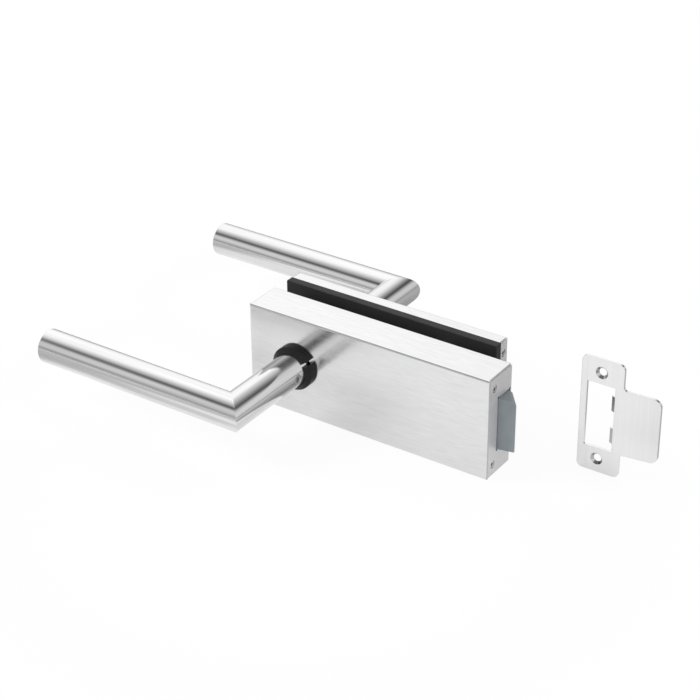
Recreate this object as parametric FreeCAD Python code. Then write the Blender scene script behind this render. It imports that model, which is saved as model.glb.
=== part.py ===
import FreeCAD, Part
import math
import os

from FreeCAD import Vector

# Sizes in millimetres. X runs along the lock towards the latch, Y from the front case
# through the glass to the rear plate, Z up. The origin is on the spindle axis, in the
# middle of the glass.

# Glass and gaskets
GLASS_T = 10.0
GASKET_T = 0.8
GASKET_INSET = 2.0
GASKET_SPINDLE_R = 8.0

# Shared clearances
FIT = 0.3            # gap between nested shells and round sliding pieces
RUNNING = 0.05       # radial gap of a turning or sliding round fit
THREAD_GAP = 0.05    # radial gap round plain shanks that stand for threads

# Front case
CASE_LEFT = 31.0     # spindle axis to the left end
CASE_RIGHT = 125.0   # spindle axis to the latch end
CASE_H = 61.5
CASE_T = 23.2
SHEET_T = 1.5
BEND_R = 1.2
SEAM = 0.8           # open groove where two flanges meet at a corner
RELIEF_R = 0.9       # small round hole at the end of each seam
CASE_GRUB_DEPTH = 5.8   # behind the front face
CASE_GRUB_EDGE = 7.25   # top or bottom of the case to the screw

# Rear plate
REAR_LEFT = 29.3
REAR_RIGHT = 109.0
REAR_COVER_T = 7.7
CLAMP_PLATE_T = 4.2
CLAMP_RIM = 6.0
REAR_GRUB_DEPTH = 4.7   # in front of the rear face
REAR_GRUB_EDGE = 7.75

# Lock body and its lid
BODY_FLOOR_T = 2.3
BODY_SIDE_T = 2.5
BODY_END_T = 4.0
BODY_CORNER_R = 1.2
LID_T = 1.5
LID_GAP = 0.7        # lid to the cover's inner face
LID_LIP = 1.8        # rim of the body round the lid
LID_EDGE_GAP = 0.2
LID_SCREW_R = 1.5
LID_SCREW_HEAD_R = 2.8
LID_SCREW_LEN = 8.0
LID_BOSS_R = 3.2
LID_SCREW_EDGE = 3.45   # side wall of the cavity to the screws' centres
LID_SCREW_LEFT = 8.5    # left end of the case to the first screw
LID_SCREW_RIGHT = 11.0  # latch end of the case to the last screws
LID_SCREW_MIDS = (10.0, 66.0)

# Clamp screws through the glass
CLAMP_LEFT = 9.6     # left end of the rear plate to the first screws
CLAMP_RIGHT_X = 78.5
CLAMP_EDGE = 12.75   # top or bottom of the case to the screws
CLAMP_R = 3.0
CLAMP_BOSS_R = 5.5
CLAMP_HEAD_R = 5.0
CLAMP_HEAD_H = 3.5
CLAMP_HEAD_SUNK = 0.2
CLAMP_SOCKET_AF = 4.0
CLAMP_TIP_GAP = 0.9
SLEEVE_R = 5.5
SLEEVE_BORE_R = 3.3
SLEEVE_END_GAP = 0.1

# Levers
TUBE_R = 10.0
TUBE_T = 1.5
GRIP_OUT = 58.0      # cover face to the grip's axis
GRIP_END = 130.8     # spindle axis to the grip's flat end
GRIP_CAP_T = 2.0
GRIP_EDGE_R = 0.5
NECK_SUNK = 1.8      # neck end behind the cover's face
SOCKET_L = 27.0
SPINDLE_W = 8.0
SPINDLE_GAP = 0.05
SPINDLE_BITE = 24.0  # spindle length inside each socket
SPINDLE_CHAMFER = 0.6
NECK_GRUB_OUT = 11.3  # cover face to the neck's grub screw
NECK_GRUB_R = 2.9
NECK_GRUB_SUNK = 0.4
NECK_GRUB_AF = 3.0

# Split neck bush
NECK_HOLE_WALL = 1.5  # tube to the edge of the covers' holes
BUSH_WALL = 3.2       # tube to the bush's outside
BUSH_BODY = 3.3
BUSH_NOSE = 5.0
BUSH_NOSE_WALL = 0.6
BUSH_LIP = 0.4        # lip behind the cover past the hole's edge
BUSH_SLEEVE_L = 2.0
BUSH_SLIT = 2.2
BUSH_SLIT_DEG = 31.0

# End grub screws
END_GRUB_R = 1.95
END_GRUB_HOLE_R = 2.15
END_GRUB_L = 5.5
REAR_GRUB_L = 3.4
END_GRUB_SUNK = 0.3
END_GRUB_AF = 2.0
SOCKET_DEPTH = 2.0

# Latch bolt
LATCH_H = 31.6
LATCH_W = 12.0
LATCH_BACK = 1.4     # bevelled side in front of the case's back
LATCH_THROW = 10.4
LATCH_TRAVEL = 10.2
LATCH_STRAIGHT = 1.6  # straight part of the bevelled side outside the case
LATCH_NOSE = 1.0
LATCH_CHAMFER = 1.6   # upper and lower edges of the bevelled side
LATCH_RISE = 1.4      # lower side from the case to the tip
LATCH_TIP_R = 0.4
LATCH_INSIDE = 18.0  # length of the head inside the case
LATCH_RELIEF_R = 0.75
LATCH_MOUTH_GAP = 0.4
ROD_R = 4.0
ROD_INSET = 4.2      # flat side of the latch to the rod's axis
STUD_R = 3.0
NUT_AF = 10.0
NUT_T = 4.0
WALL_X = 68.0        # cross wall that carries the rod
WALL_T = 4.0
RAIL_T = 2.0

# Follower
HUB_R = 10.0
COLLAR_R = 11.5
ARM_R = 14.6         # spindle axis to the pin
ARM_T = 4.0
ARM_TIP_R = 3.5
ARM_ROOT_R = 9.0
PIN_R = 2.5
TURN_DEG = 40.0      # the pin swings half this to each side of upright
PIN_SLACK = 0.25

# Retractor bar
BAR_T = 2.6
BAR_GAP = 0.4        # bar to the lid and to the collar
BAR_LEFT = -6.0
BAR_RIGHT = 60.0
BAR_HUB_GAP = 0.8    # follower's hub to the bar's lower edge
BAR_TOP_GAP = 0.45   # bar to the body's side wall
BAR_LEG_W = 6.5
BAR_LEG_BOTTOM = -8.0
BAR_CORNER_R = 1.5
FORK_T = 3.0
FORK_TOP = 12.0
FORK_FLOOR_GAP = 0.9
FORK_SLACK = 0.35
TAB_X = 10.0
TAB_T = 2.6
TAB_HALF = 3.5       # return spring's axis to the tab's edges
POST_XS = (20.0, 38.5)
POST_EDGE = 7.0      # bar's upper edge to the guide posts
POST_R = 2.4
POST_SHOULDER_R = 4.0
POST_SLACK = 0.2

# Springs
WIRE_R = 0.45
WIRE_SIDES = 6
COIL_STEPS = 12     # wire segments in one turn
LATCH_COIL_R = 4.8
LATCH_TURNS = 9
RETURN_COIL_R = 2.8
RETURN_TURNS = 7
RETURN_Y = -14.0
LUG_X = -13.0
LUG_T = 4.0
LUG_FRONT_Y = -20.0
SPRING_SEAT = 0.05

# Strike plate
STRIKE_X = 157.4
STRIKE_Y = 11.6
STRIKE_T = 1.6
STRIKE_W = 25.0
STRIKE_H = 69.5
STRIKE_CORNER_R = 3.2
STRIKE_LIP = 21.2
STRIKE_LIP_H = 39.7
STRIKE_LIP_END_H = 38.7
STRIKE_LIP_R = 4.5
STRIKE_FILLET_R = 2.2
STRIKE_LIP_DEG = 5.0
STRIKE_SLOT_X = 3.6
STRIKE_SLOT_W = 16.7
STRIKE_SLOT_H = 39.7
STRIKE_HOLE_X = 11.8
STRIKE_HOLE_PITCH = 53.4
STRIKE_HOLE_R = 2.2
STRIKE_SINK_R = 3.6
STRIKE_TAB_H = 9.2
STRIKE_TAB_PITCH = 19.6
STRIKE_TAB_OUT = 2.1
STRIKE_TAB_BACK = 1.0
STRIKE_TAB_T = 1.0

# Planes that follow from the sizes above
GLASS_FRONT = -GLASS_T / 2
GLASS_REAR = GLASS_T / 2
CASE_BACK = GLASS_FRONT - GASKET_T
CASE_FRONT = CASE_BACK - CASE_T
PLATE_FRONT = GLASS_REAR + GASKET_T
PLATE_BACK = PLATE_FRONT + CLAMP_PLATE_T
REAR_FACE = PLATE_BACK + REAR_COVER_T
HALF_H = CASE_H / 2
COVER_INNER = CASE_FRONT + SHEET_T
LID_FRONT = COVER_INNER + LID_GAP
LID_BACK = LID_FRONT + LID_T
FLOOR = CASE_BACK - BODY_FLOOR_T
BODY_X0 = -CASE_LEFT + SHEET_T + FIT
BODY_X1 = CASE_RIGHT - SHEET_T - FIT
BODY_Z = HALF_H - SHEET_T - FIT
CAV_X0 = BODY_X0 + BODY_END_T
CAV_X1 = BODY_X1 - BODY_END_T
CAV_Z = BODY_Z - BODY_SIDE_T
CASE_GRUB_Z = HALF_H - CASE_GRUB_EDGE
REAR_GRUB_Z = HALF_H - REAR_GRUB_EDGE
CLAMP_XS = (CLAMP_LEFT - REAR_LEFT, CLAMP_RIGHT_X)
CLAMP_Z = HALF_H - CLAMP_EDGE
LATCH_Y1 = CASE_BACK - LATCH_BACK
LATCH_Y0 = LATCH_Y1 - LATCH_W
LATCH_REAR = CASE_RIGHT - LATCH_INSIDE
LATCH_TIP = CASE_RIGHT + LATCH_THROW
ROD_Y = LATCH_Y0 + ROD_INSET
BAR_FRONT = LID_BACK + BAR_GAP
BAR_BACK = BAR_FRONT + BAR_T
COLLAR_FRONT = BAR_BACK + BAR_GAP
BAR_BOTTOM = HUB_R + BAR_HUB_GAP
BAR_TOP = CAV_Z - BAR_TOP_GAP
POST_Z = BAR_TOP - POST_EDGE
RETURN_Z = BAR_TOP - TAB_HALF
TAB_BOTTOM = RETURN_Z - TAB_HALF
TAB_END_Y = RETURN_Y + TAB_HALF
FORK_END_Y = FLOOR - FORK_FLOOR_GAP
NECK_HOLE_R = TUBE_R + NECK_HOLE_WALL
BUSH_R = TUBE_R + BUSH_WALL
BUSH_NOSE_R = TUBE_R + BUSH_NOSE_WALL
BUSH_SLEEVE_R = NECK_HOLE_R - RUNNING
BUSH_LIP_R = NECK_HOLE_R + BUSH_LIP
FLOOR_Z = -HALF_H

# Working values for cuts and comparisons
EXACT = 1e-6
PAST = 8.0    # how far a blank reaches past the faces that bound it


# Basic shapes
def box(x0, x1, y0, y1, z0, z1):
    return Part.makeBox(x1 - x0, y1 - y0, z1 - z0, Vector(x0, y0, z0))


def rod(r, start, end):
    """A cylinder of radius r from one point to another."""
    a, b = Vector(*start), Vector(*end)
    return Part.makeCylinder(r, (b - a).Length, a, b - a)


def rod_y(r, y0, y1, x=0.0, z=0.0):
    return rod(r, (x, y0, z), (x, y1, z))


def rod_x(r, x0, x1, y, z):
    return rod(r, (x0, y, z), (x1, y, z))


def prism(points, axis, low, high):
    """A straight prism. For axis y the points are (x, z); for axis z they are (x, y)."""
    if axis == "y":
        corners = [Vector(a, low, b) for a, b in points]
        push = Vector(0, high - low, 0)
    else:
        corners = [Vector(a, b, low) for a, b in points]
        push = Vector(0, 0, high - low)
    return Part.Face(Part.makePolygon(corners + corners[:1])).extrude(push)


def turned_y(profile, origin_y=0.0, sign=1.0):
    """A solid of revolution about the spindle axis. The profile holds (r, y)."""
    pts = [Vector(r, origin_y + sign * y, 0) for r, y in profile]
    face = Part.Face(Part.makePolygon(pts + pts[:1]))
    return face.revolve(Vector(0, 0, 0), Vector(0, 1, 0), 360)


def hexagon(af, start, end):
    """A hexagonal bar of the given size across flats between two points."""
    a, b = Vector(*start), Vector(*end)
    line = b - a
    line.normalize()
    side = line.cross(Vector(0, 0, 1)) if abs(line.z) < 0.9 else Vector(1, 0, 0)
    side.normalize()
    up = line.cross(side)
    r = af / math.sqrt(3)
    pts = []
    for k in range(6):
        angle = math.radians(60 * k)
        pts.append(a + side * (r * math.cos(angle)) + up * (r * math.sin(angle)))
    return Part.Face(Part.makePolygon(pts + pts[:1])).extrude(b - a)


def grub_screw(r, outer, inner, af):
    """A headless screw with a hexagon socket in its outer end and a chamfered tip."""
    a, b = Vector(*outer), Vector(*inner)
    line = b - a
    line.normalize()
    screw = rod(r, outer, inner)
    tip = [e for e in screw.Edges if e.Closed and (e.CenterOfMass - b).Length < EXACT]
    screw = screw.makeChamfer(0.4, tip)
    end = a + line * SOCKET_DEPTH
    return screw.cut(hexagon(af, outer, (end.x, end.y, end.z)))


def edges_on_plane(shape, axis, value):
    """Edges that lie wholly in the plane where the coordinate has the given value."""
    return [e for e in shape.Edges
            if all(abs(getattr(v.Point, axis) - value) < EXACT for v in e.Vertexes)]


def edges_along(shape, direction):
    """Straight edges parallel to a direction."""
    found = []
    for e in shape.Edges:
        if isinstance(e.Curve, Part.Line):
            line = e.Vertexes[-1].Point - e.Vertexes[0].Point
            line.normalize()
            if line.cross(direction).Length < EXACT:
                found.append(e)
    return found


def coil(start_x, end_x, y, z, coil_r, turns):
    """A compression spring along X. Its wire has WIRE_SIDES flat sides."""
    steps = turns * COIL_STEPS
    length = end_x - start_x - 2 * WIRE_R
    points, facets = [], []
    for i in range(steps + 1):
        turn = 2 * math.pi * i / COIL_STEPS
        x = start_x + WIRE_R + length * i / steps
        for k in range(WIRE_SIDES):
            around = 2 * math.pi * k / WIRE_SIDES
            r = coil_r + WIRE_R * math.cos(around)
            points.append(Vector(x + WIRE_R * math.sin(around), y + r * math.cos(turn),
                                 z + r * math.sin(turn)))
    n = WIRE_SIDES
    for i in range(steps):
        for k in range(n):
            a, b = i * n + k, i * n + (k + 1) % n
            facets += [(a, b, b + n), (a, b + n, a + n)]
    last = steps * n
    for k in range(1, n - 1):
        facets += [(0, k + 1, k), (last, last + k, last + k + 1)]
    skin = Part.Shape()
    skin.makeShapeFromMesh((points, facets), 0.001)
    spring = Part.makeSolid(skin)
    return spring if spring.Volume > 0 else spring.reversed()


def clamp_places():
    return [(x, z) for x in CLAMP_XS for z in (CLAMP_Z, -CLAMP_Z)]


def lid_screw_places():
    """One screw at the left end, a pair past the bar and one at the latch, one below."""
    z = CAV_Z - LID_SCREW_EDGE
    low, pair = LID_SCREW_MIDS
    last = CASE_RIGHT - LID_SCREW_RIGHT
    return [(LID_SCREW_LEFT - CASE_LEFT, 0.0), (low, -z), (pair, z), (pair, -z), (last, z),
            (last, -z)]


# Folded covers
def folded_tray(x0, x1, face_y, rim_y):
    """One sheet folded on four sides, with open seams at the corners of its flanges."""
    lo, hi = min(face_y, rim_y), max(face_y, rim_y)
    into = 1.0 if rim_y > face_y else -1.0
    outer = box(x0, x1, lo, hi, -HALF_H, HALF_H)
    outer = outer.makeFillet(BEND_R, edges_on_plane(outer, "y", face_y))
    inner_face = face_y + into * SHEET_T
    past_rim = rim_y + into
    inner = box(x0 + SHEET_T, x1 - SHEET_T, min(inner_face, past_rim),
                max(inner_face, past_rim), -HALF_H + SHEET_T, HALF_H - SHEET_T)
    tray = outer.cut(inner)
    start = face_y + into * (BEND_R + 0.6)
    for x, sx in ((x0, 1), (x1, -1)):
        for sz in (1, -1):
            xs = sorted((x - sx, x + sx * SEAM))
            zs = sorted((sz * (HALF_H + 1), sz * (HALF_H - SEAM)))
            ys = sorted((start, past_rim))
            tray = tray.cut(box(xs[0], xs[1], ys[0], ys[1], zs[0], zs[1]))
            tray = tray.cut(Part.makeSphere(RELIEF_R, Vector(x, start, sz * HALF_H)))
    return tray


def front_cover():
    cover = folded_tray(-CASE_LEFT, CASE_RIGHT, CASE_FRONT, CASE_BACK)
    cover = cover.cut(rod_y(NECK_HOLE_R, CASE_FRONT - 1, COVER_INNER + 1))
    y0, y1 = LATCH_Y0 - LATCH_MOUTH_GAP, LATCH_Y1 + LATCH_MOUTH_GAP
    half = LATCH_H / 2 + LATCH_MOUTH_GAP
    cover = cover.cut(box(CASE_RIGHT - SHEET_T - 1, CASE_RIGHT + 1, y0, y1, -half, half))
    for y, inset in ((y0, 0.3), (y1, -0.3)):
        for z in (half, -half):
            cover = cover.cut(rod_x(LATCH_RELIEF_R, CASE_RIGHT - SHEET_T - 1,
                                    CASE_RIGHT + 1, y + inset, z))
    grub_y = CASE_FRONT + CASE_GRUB_DEPTH
    for x in (-CASE_LEFT, CASE_RIGHT):
        for z in (CASE_GRUB_Z, -CASE_GRUB_Z):
            cover = cover.cut(rod_x(END_GRUB_HOLE_R, x - 2, x + 2, grub_y, z))
    return cover


def rear_cover():
    cover = folded_tray(-REAR_LEFT, REAR_RIGHT, REAR_FACE, PLATE_BACK)
    cover = cover.cut(rod_y(NECK_HOLE_R, REAR_FACE - SHEET_T - 1, REAR_FACE + 1))
    grub_y = REAR_FACE - REAR_GRUB_DEPTH
    for x in (-REAR_LEFT, REAR_RIGHT):
        for z in (REAR_GRUB_Z, -REAR_GRUB_Z):
            cover = cover.cut(rod_x(END_GRUB_HOLE_R, x - 2, x + 2, grub_y, z))
    return cover


# Lock body
def lock_body():
    """Cast tray: floor against the glass side, walls, bosses, guides and the latch mouth."""
    body = box(BODY_X0, BODY_X1, LID_FRONT, CASE_BACK, -BODY_Z, BODY_Z)
    body = body.makeFillet(BODY_CORNER_R, edges_along(body, Vector(0, 1, 0)))
    body = body.cut(box(CAV_X0, CAV_X1, LID_FRONT - 1, FLOOR, -CAV_Z, CAV_Z))
    body = body.cut(box(BODY_X0 + LID_LIP, BODY_X1 - LID_LIP, LID_FRONT - 1, LID_BACK,
                        -BODY_Z + LID_LIP, BODY_Z - LID_LIP))
    added = [rod_y(CLAMP_BOSS_R, COLLAR_FRONT, FLOOR + 0.5, x, z) for x, z in clamp_places()]
    added += [rod_y(LID_BOSS_R, LID_BACK, FLOOR + 0.5, x, z) for x, z in lid_screw_places()]
    for x in POST_XS:
        added.append(rod_y(POST_SHOULDER_R, COLLAR_FRONT, FLOOR + 0.5, x, POST_Z))
        added.append(rod_y(POST_R, LID_BACK, COLLAR_FRONT + 0.5, x, POST_Z))
    added.append(box(LUG_X - LUG_T, LUG_X, LUG_FRONT_Y, FLOOR + 0.5, TAB_BOTTOM - 0.5,
                     CAV_Z + 0.5))
    added.append(box(WALL_X, WALL_X + WALL_T, LUG_FRONT_Y - 1.5, FLOOR + 0.5,
                     -CAV_Z - 0.5, CAV_Z + 0.5))
    latch_z = LATCH_H / 2 + FIT
    rail_x0 = LATCH_REAR - 2 * LATCH_TRAVEL - 1.0
    for sign in (1, -1):
        zs = sorted((sign * latch_z, sign * (latch_z + RAIL_T)))
        added.append(box(rail_x0, CAV_X1 + 0.5, LUG_FRONT_Y - 0.5, FLOOR + 0.5, zs[0], zs[1]))
    casting = body.fuse(added)
    tools = [rod_y(HUB_R + RUNNING, FLOOR - 1, CASE_BACK + 1),
             box(rail_x0, BODY_X1 + 1, LATCH_Y0 - FIT, LATCH_Y1 + FIT, -latch_z, latch_z),
             rod_x(ROD_R + RUNNING, WALL_X - 1, WALL_X + WALL_T + 1, ROD_Y, 0)]
    for x, z in clamp_places():
        tools.append(rod_y(CLAMP_R + THREAD_GAP, COLLAR_FRONT + 0.4, CASE_BACK + 1, x, z))
    for x, z in lid_screw_places():
        tools.append(rod_y(LID_SCREW_R + THREAD_GAP, LID_BACK - 1,
                           LID_FRONT + LID_SCREW_LEN + 1, x, z))
    grub_y = CASE_FRONT + CASE_GRUB_DEPTH
    for z in (CASE_GRUB_Z, -CASE_GRUB_Z):
        for x0, x1 in ((BODY_X0 - 1, BODY_X0 + BODY_END_T), (BODY_X1 - BODY_END_T, BODY_X1 + 1)):
            tools.append(rod_x(END_GRUB_R + THREAD_GAP, x0, x1, grub_y, z))
    for tool in tools:
        casting = casting.cut(tool)
    return casting.removeSplitter()


def mechanism_plate():
    """Lid of the lock body with the follower's front bore and countersunk screw holes."""
    inset = LID_LIP + LID_EDGE_GAP
    plate = box(BODY_X0 + inset, BODY_X1 - inset, LID_FRONT, LID_BACK,
                -BODY_Z + inset, BODY_Z - inset)
    plate = plate.cut(rod_y(HUB_R + RUNNING, LID_FRONT - 1, LID_BACK + 1))
    for x, z in lid_screw_places():
        plate = plate.cut(rod_y(LID_SCREW_R + THREAD_GAP, LID_FRONT - 1, LID_BACK + 1, x, z))
        plate = plate.cut(lid_screw_cone(x, z, THREAD_GAP))
    return plate


def lid_screw_cone(x, z, gap):
    depth = LID_SCREW_HEAD_R - LID_SCREW_R
    return Part.makeCone(LID_SCREW_HEAD_R + gap, LID_SCREW_R + gap, depth,
                         Vector(x, LID_FRONT, z), Vector(0, 1, 0))


def mechanism_screws():
    screws = []
    for x, z in lid_screw_places():
        screw = rod_y(LID_SCREW_R, LID_FRONT, LID_FRONT + LID_SCREW_LEN, x, z)
        screw = screw.fuse(lid_screw_cone(x, z, 0.0)).removeSplitter()
        socket = hexagon(2.0, (x, LID_FRONT, z), (x, LID_FRONT + 1.2, z))
        screws.append(screw.cut(socket))
    return Part.makeCompound(screws)


# Gaskets, clamp plate and clamp screws
def gasket(x0, x1, half_z, y0, y1):
    sheet = box(x0, x1, y0, y1, -half_z, half_z)
    sheet = sheet.cut(rod_y(GASKET_SPINDLE_R, y0 - 1, y1 + 1))
    for x, z in clamp_places():
        sheet = sheet.cut(rod_y(SLEEVE_R + 0.2, y0 - 1, y1 + 1, x, z))
    return sheet


def front_gasket():
    return gasket(-CASE_LEFT + GASKET_INSET, CASE_RIGHT - GASKET_INSET,
                  HALF_H - GASKET_INSET, CASE_BACK, GLASS_FRONT)


def rear_gasket():
    return gasket(-REAR_LEFT, REAR_RIGHT, HALF_H, GLASS_REAR, PLATE_FRONT)


def rear_clamp_plate():
    """Black plate with a raised rim and bosses that the rear cover fits over."""
    plate = box(-REAR_LEFT, REAR_RIGHT, PLATE_FRONT, PLATE_BACK, -HALF_H, HALF_H)
    x0, x1 = -REAR_LEFT + SHEET_T + FIT, REAR_RIGHT - SHEET_T - FIT
    core_y = REAR_FACE - SHEET_T - FIT
    core_z = HALF_H - SHEET_T - FIT
    core = box(x0, x1, PLATE_BACK - 0.5, core_y, -core_z, core_z)
    core = core.cut(box(x0 + CLAMP_RIM, x1 - CLAMP_RIM, PLATE_BACK, core_y + 1,
                        -core_z + CLAMP_RIM, core_z - CLAMP_RIM))
    bosses = [rod_y(CLAMP_HEAD_R + 3.0, PLATE_BACK - 0.5, core_y, x, z)
              for x, z in clamp_places()]
    bosses.append(rod_y(NECK_HOLE_R + 4.0, PLATE_BACK - 0.5, core_y))
    rib_x = (CLAMP_XS[0] + CLAMP_XS[1]) / 2
    bosses.append(box(rib_x - 2, rib_x + 2, PLATE_BACK - 0.5, core_y, -core_z + 1, core_z - 1))
    block = box(x0, x1, PLATE_BACK - 0.5, core_y, -core_z, core_z)
    raised = core.fuse(bosses).common(block)
    plate = plate.fuse(raised).removeSplitter()
    tools = [rod_y(GASKET_SPINDLE_R, PLATE_FRONT - 1, core_y + 1),
             rod_y(NECK_HOLE_R + 0.5, PLATE_BACK, core_y + 1)]
    seat = core_y - CLAMP_HEAD_SUNK - CLAMP_HEAD_H
    for x, z in clamp_places():
        tools.append(rod_y(CLAMP_R + 0.3, PLATE_FRONT - 1, core_y + 1, x, z))
        tools.append(rod_y(CLAMP_HEAD_R + FIT, seat, core_y + 1, x, z))
    grub_y = REAR_FACE - REAR_GRUB_DEPTH
    for z in (REAR_GRUB_Z, -REAR_GRUB_Z):
        for a, b in ((x0 - 1, x0 + CLAMP_RIM + 3), (x1 - CLAMP_RIM - 3, x1 + 1)):
            tools.append(rod_x(END_GRUB_R + THREAD_GAP, a, b, grub_y, z))
    for tool in tools:
        plate = plate.cut(tool)
    return plate


def clamp_screws():
    """Four socket head screws from the clamp plate through the glass into the lock body."""
    core_y = REAR_FACE - SHEET_T - FIT
    top = core_y - CLAMP_HEAD_SUNK
    screws = []
    for x, z in clamp_places():
        screw = rod_y(CLAMP_HEAD_R, top - CLAMP_HEAD_H, top, x, z)
        screw = screw.fuse(rod_y(CLAMP_R, COLLAR_FRONT + CLAMP_TIP_GAP, top - 1, x, z))
        socket = hexagon(CLAMP_SOCKET_AF, (x, top, z), (x, top - 2.2, z))
        screws.append(screw.removeSplitter().cut(socket))
    return Part.makeCompound(screws)


def glass_sleeves():
    y0, y1 = CASE_BACK + SLEEVE_END_GAP, PLATE_FRONT - SLEEVE_END_GAP
    return Part.makeCompound([
        rod_y(SLEEVE_R, y0, y1, x, z).cut(rod_y(SLEEVE_BORE_R, y0 - 1, y1 + 1, x, z))
        for x, z in clamp_places()])


def end_grubs(left, right, y, z_off, length):
    """Headless screws through both ends of a cover, above and below."""
    screws = []
    for z in (z_off, -z_off):
        screws.append(grub_screw(END_GRUB_R, (right - END_GRUB_SUNK, y, z),
                                 (right - length, y, z), END_GRUB_AF))
        screws.append(grub_screw(END_GRUB_R, (-left + END_GRUB_SUNK, y, z),
                                 (-left + length, y, z), END_GRUB_AF))
    return Part.makeCompound(screws)


def front_cover_grub_screws():
    return end_grubs(CASE_LEFT, CASE_RIGHT, CASE_FRONT + CASE_GRUB_DEPTH, CASE_GRUB_Z,
                     END_GRUB_L)


def rear_cover_grub_screws():
    return end_grubs(REAR_LEFT, REAR_RIGHT, REAR_FACE - REAR_GRUB_DEPTH, REAR_GRUB_Z,
                     REAR_GRUB_L)


# Neck bushes
def neck_bush(face_y, out):
    """Split plastic ring: sleeve in the cover's hole, lip behind it, coned nose outside."""
    bore = TUBE_R + RUNNING
    profile = [(bore, -BUSH_SLEEVE_L), (BUSH_LIP_R, -BUSH_SLEEVE_L),
               (BUSH_LIP_R, -SHEET_T - 0.05), (BUSH_SLEEVE_R, -SHEET_T - 0.05),
               (BUSH_SLEEVE_R, 0.0), (BUSH_R, 0.0), (BUSH_R, BUSH_BODY - 0.4),
               (BUSH_R - 0.4, BUSH_BODY), (BUSH_NOSE_R + 0.3, BUSH_NOSE - 0.3),
               (BUSH_NOSE_R, BUSH_NOSE), (bore, BUSH_NOSE)]
    ring = turned_y(profile, face_y, out)
    ys = sorted((face_y - out * (BUSH_SLEEVE_L + 1), face_y + out * (BUSH_NOSE + 1)))
    slit = box(0, BUSH_R + 2, ys[0], ys[1], -BUSH_SLIT / 2, BUSH_SLIT / 2)
    slit.rotate(Vector(0, 0, 0), Vector(0, 1, 0), -BUSH_SLIT_DEG)
    return ring.cut(slit)


# Levers
def bent_tube(r, neck_y, grip_y, grip_x, out):
    """Neck and grip cylinders of one radius joined on a mitre plane."""
    reach = 3 * TUBE_R
    neck = rod_y(r, *sorted((neck_y, grip_y + out * reach)))
    grip = rod_x(r, grip_x, reach, grip_y, 0)
    far = 50 * PAST
    # the neck keeps the side of the mitre plane that holds the case, the grip the other
    keep_neck = [(-far, grip_y + out * -far), (far, grip_y + out * far), (far, grip_y - out * far)]
    keep_grip = [(-far, grip_y + out * -far), (far, grip_y + out * far), (-far, grip_y + out * far)]
    neck = neck.common(prism(keep_neck, "z", -r - 1, r + 1))
    grip = grip.common(prism(keep_grip, "z", -r - 1, r + 1))
    return neck.fuse(grip)


def lever(face_y, out):
    """Mitred round tube: neck out of the cover, grip to the left, closed flat end."""
    neck_y = face_y - out * NECK_SUNK
    grip_y = face_y + out * GRIP_OUT
    outer = bent_tube(TUBE_R, neck_y, grip_y, -GRIP_END, out)
    rim = [e for e in outer.Edges
           if e.Closed and abs(e.CenterOfMass.x + GRIP_END) < EXACT]
    outer = outer.makeFillet(GRIP_EDGE_R, rim)
    inner = bent_tube(TUBE_R - TUBE_T, neck_y - out, grip_y, -GRIP_END + GRIP_CAP_T, out)
    tube = outer.cut(inner)
    grub_y = face_y + out * NECK_GRUB_OUT
    return tube.cut(rod_x(NECK_GRUB_R + 0.1, TUBE_R - TUBE_T - 1, TUBE_R + 1, grub_y, 0))


def lever_socket(face_y, out):
    """Turned insert in the neck with a square hole for the spindle."""
    ys = sorted((face_y - out * NECK_SUNK, face_y + out * (SOCKET_L - NECK_SUNK)))
    plug = rod_y(TUBE_R - TUBE_T - THREAD_GAP, ys[0], ys[1])
    plug = plug.makeChamfer(0.5, [e for e in plug.Edges if e.Closed and len(e.Vertexes) == 1])
    half = SPINDLE_W / 2 + SPINDLE_GAP
    plug = plug.cut(box(-half, half, ys[0] - 1, ys[1] + 1, -half, half))
    grub_y = face_y + out * NECK_GRUB_OUT
    return plug.cut(rod_x(NECK_GRUB_R + THREAD_GAP, 0, TUBE_R, grub_y, 0))


def lever_grub_screws():
    screws = []
    for face_y, out in ((CASE_FRONT, -1), (REAR_FACE, 1)):
        y = face_y + out * NECK_GRUB_OUT
        screws.append(grub_screw(NECK_GRUB_R, (TUBE_R - NECK_GRUB_SUNK, y, 0),
                                 (SPINDLE_W / 2 + SPINDLE_GAP, y, 0), NECK_GRUB_AF))
    return Part.makeCompound(screws)


def spindle():
    half = SPINDLE_W / 2
    y0 = CASE_FRONT + NECK_SUNK - SPINDLE_BITE
    y1 = REAR_FACE - NECK_SUNK + SPINDLE_BITE
    bar = box(-half, half, y0, y1, -half, half)
    return bar.makeChamfer(SPINDLE_CHAMFER, bar.Edges)


# Follower and retractor
def pin_place():
    angle = math.radians(TURN_DEG / 2)
    return ARM_R * math.sin(angle), ARM_R * math.cos(angle)


def follower():
    """Hub that runs in the lid and the floor, with an arm and a pin on its upper side."""
    hub = rod_y(HUB_R, LID_FRONT, CASE_BACK - 0.2)
    hub = hub.fuse(rod_y(COLLAR_R, COLLAR_FRONT, FLOOR - FIT))
    px, pz = pin_place()
    length = math.hypot(px, pz)
    ux, uz = px / length, pz / length
    wide = [(-uz * ARM_ROOT_R, ux * ARM_ROOT_R), (px - uz * ARM_TIP_R, pz + ux * ARM_TIP_R),
            (px + uz * ARM_TIP_R, pz - ux * ARM_TIP_R), (uz * ARM_ROOT_R, -ux * ARM_ROOT_R)]
    arm = prism(wide, "y", COLLAR_FRONT, COLLAR_FRONT + ARM_T)
    tip = rod_y(ARM_TIP_R, COLLAR_FRONT, COLLAR_FRONT + ARM_T, px, pz)
    pin = rod_y(PIN_R, BAR_FRONT - 0.1, COLLAR_FRONT + 1, px, pz)
    whole = hub.fuse([arm, tip, pin]).removeSplitter()
    half = SPINDLE_W / 2 + SPINDLE_GAP
    return whole.cut(box(-half, half, LID_FRONT - 1, CASE_BACK + 1, -half, half))


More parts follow.
